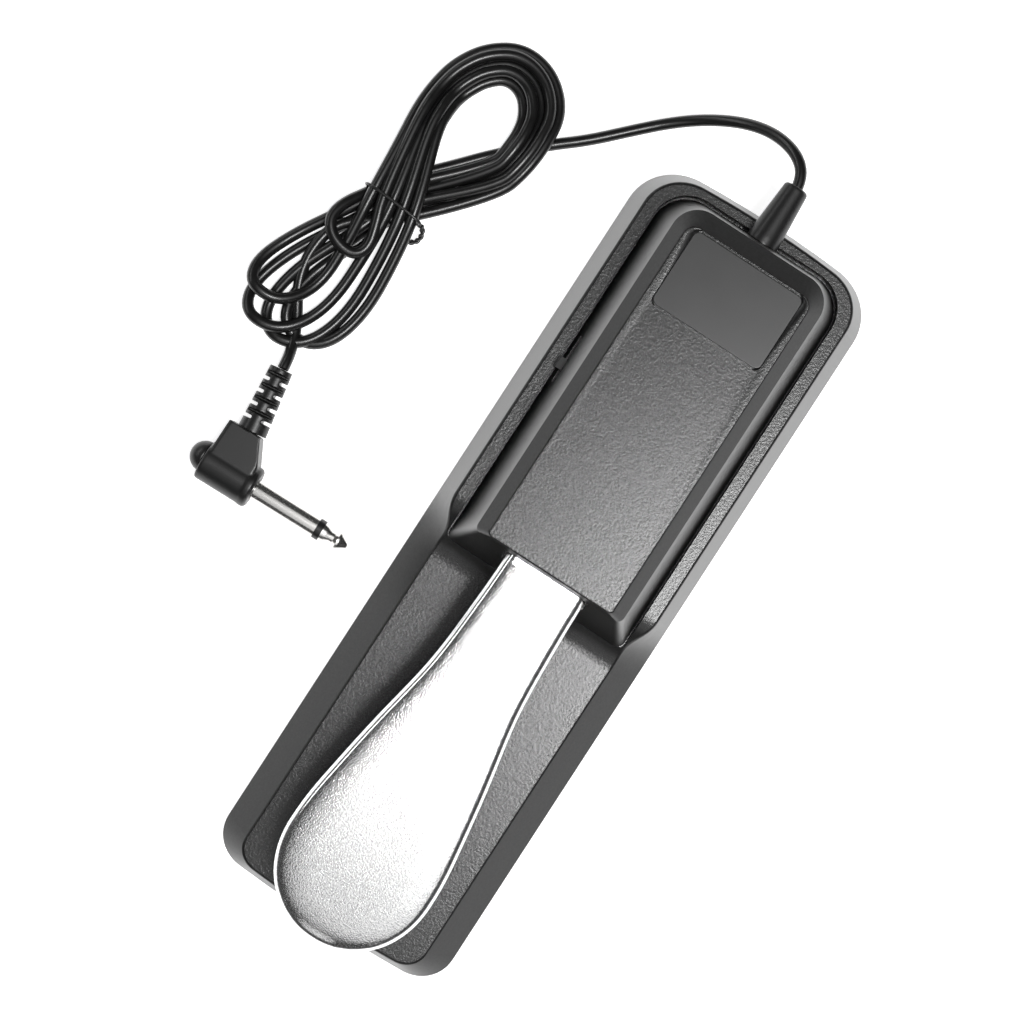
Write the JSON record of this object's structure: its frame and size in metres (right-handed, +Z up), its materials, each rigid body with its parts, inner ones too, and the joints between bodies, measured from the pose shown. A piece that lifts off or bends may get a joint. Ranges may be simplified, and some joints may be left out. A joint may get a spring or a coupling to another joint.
{
  "type": "sustain pedal",
  "caption": "Piano-style foot pedal: chrome lever in a low black base with a raised housing, switch gear inside, and a tied cord with a right-angle jack plug.",
  "frame": {"origin": "centre of the base's underside, on the resting plane", "axes": "+Z up; +Y towards the cable end; -Y towards the foot end of the lever; +X to the right when the lever points at the viewer"},
  "size_m": [0.1606, 0.273, 0.053],
  "materials": {
    "case_plastic": "fine-grained black moulding, satin",
    "badge_plastic": "smooth satin black, blank",
    "rubber": "matt black, ribbed underneath",
    "plated_steel": "zinc plated",
    "spring_steel": "oiled spring wire",
    "chrome": "satin chrome on stamped steel, polished edges",
    "inner_plastic": "plain black moulding",
    "felt": "dense grey felt",
    "board_laminate": "green lacquered laminate",
    "brass": "turned brass",
    "nylon": "natural nylon",
    "knob_plastic": "black moulding",
    "wire_insulation": "thin insulated cores",
    "soft_pvc": "soft moulded black",
    "cord_pvc": "glossy black cable jacket",
    "tie_plastic": "black coated wire",
    "plug_plastic": "satin black moulding",
    "nickel": "nickel plated, fine turning marks",
    "insulator_plastic": "black insulating ring"
  },
  "bodies": {
    "base": {"rubber_mat": "rubber", "bottom_plate": "plated_steel", "base_screws": "plated_steel", "base_tray": "case_plastic", "top_housing": "case_plastic", "blank_badge": "badge_plastic", "pivot_axle": "plated_steel", "axle_clips": "spring_steel", "pivot_bracket": "plated_steel", "bracket_screws": "plated_steel", "spring_seat": "inner_plastic", "return_spring": "spring_steel", "upper_stop_pad": "felt", "stop_pillar": "inner_plastic", "lower_stop_bumper": "rubber", "circuit_board": "board_laminate", "board_standoffs": "brass", "board_screws": "plated_steel", "snap_switch": "inner_plastic", "polarity_switch": "plated_steel", "signal_wires": "wire_insulation", "cable_boot": "soft_pvc", "cord_lead": "cord_pvc", "cord_hank": "cord_pvc", "cord_tail": "cord_pvc", "twist_tie": "tie_plastic", "plug_body": "plug_plastic", "plug_dome": "plug_plastic", "plug_boot": "plug_plastic", "plug_sleeve": "nickel", "plug_insulator": "insulator_plastic", "plug_tip": "nickel"},
    "lever": {"pedal_lever": "chrome", "lever_bushes": "nylon", "actuator_screw": "plated_steel", "actuator_nut": "plated_steel"},
    "plunger": {"switch_plunger": "nylon"},
    "knob": {"polarity_knob": "knob_plastic"}
  },
  "joints": [
    {"name": "lever_hinge", "type": "hinge", "parent": "base", "child": "lever", "pos_m": [0, 0.062, 0.036], "axis": [1, 0, 0], "range_deg": [0, 4.5], "stiffness_Nm_per_rad": 20, "springref_deg": -2.86, "deforming": ["return_spring"]},
    {"name": "plunger_slide", "type": "slide", "parent": "base", "child": "plunger", "axis": [0, 0, -1], "range_m": [0, 0.0015], "stiffness_N_per_m": 200},
    {"name": "knob_slide", "type": "slide", "parent": "base", "child": "knob", "axis": [0, 1, 0], "range_m": [0, 0.004]}
  ],
  "couplings": [
    {"joint": "plunger_slide", "follows": "lever_hinge", "m_per_rad": 0.019}
  ]
}
